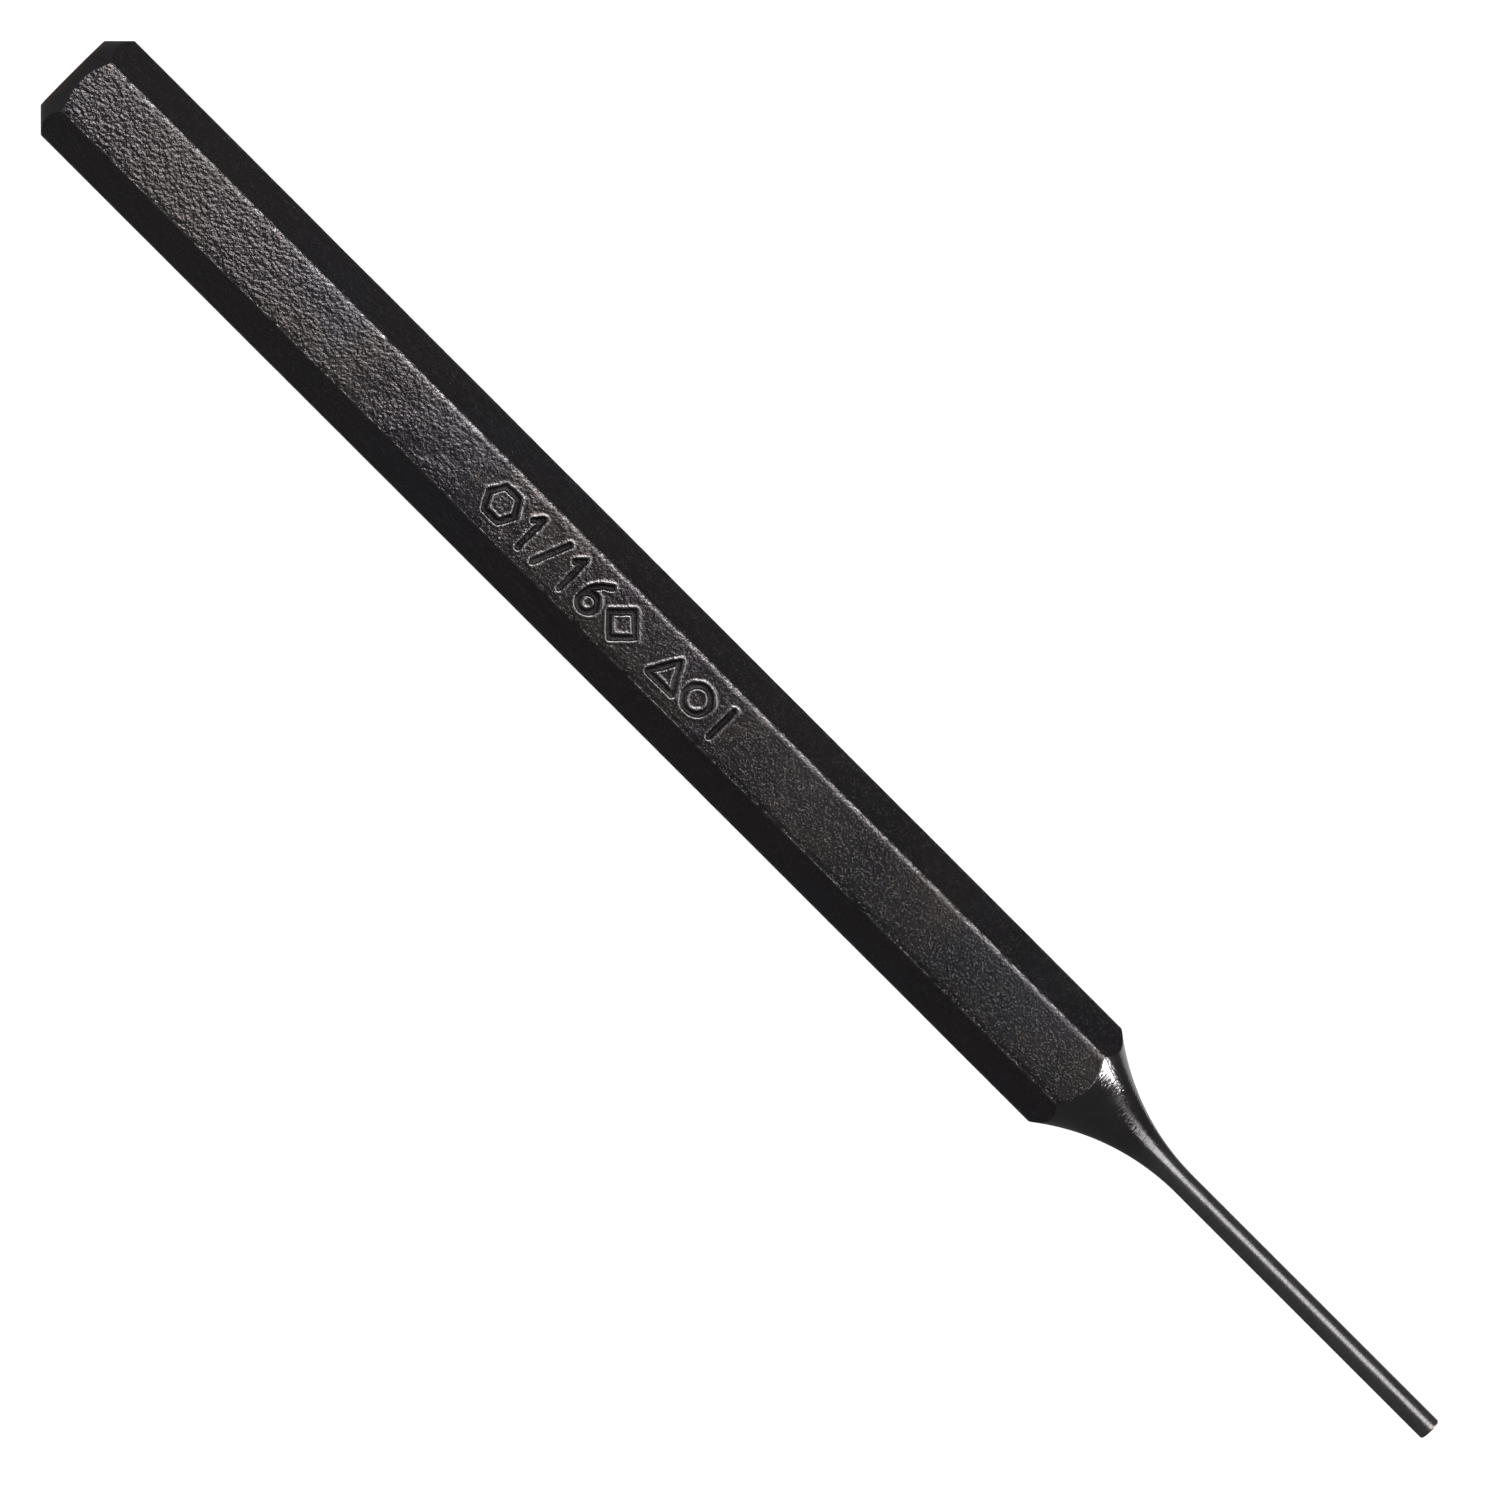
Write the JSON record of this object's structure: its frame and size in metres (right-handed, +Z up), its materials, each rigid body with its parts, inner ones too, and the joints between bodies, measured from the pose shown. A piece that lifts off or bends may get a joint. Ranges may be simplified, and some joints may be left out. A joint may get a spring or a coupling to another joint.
{
  "type": "pin punch",
  "caption": "Hexagonal steel bar with a chamfered striking end and a concave ground shoulder running into a slim, straight, flat-ended pin.",
  "frame": {"origin": "under the middle of the tool's length, on the flat of the hexagon that it lies on", "axes": "+X along the tool from the striking end to the tip of the pin, +Z up from the flat that it lies on, +Y across the corners of the hexagon"},
  "size_m": [0.1058, 0.0072, 0.0063],
  "materials": {
    "blackened_steel": "black oxide over rolled bar flats, satin; shoulder and pin ground"
  },
  "bodies": {
    "root": {"pin_punch": "blackened_steel"}
  },
  "joints": []
}
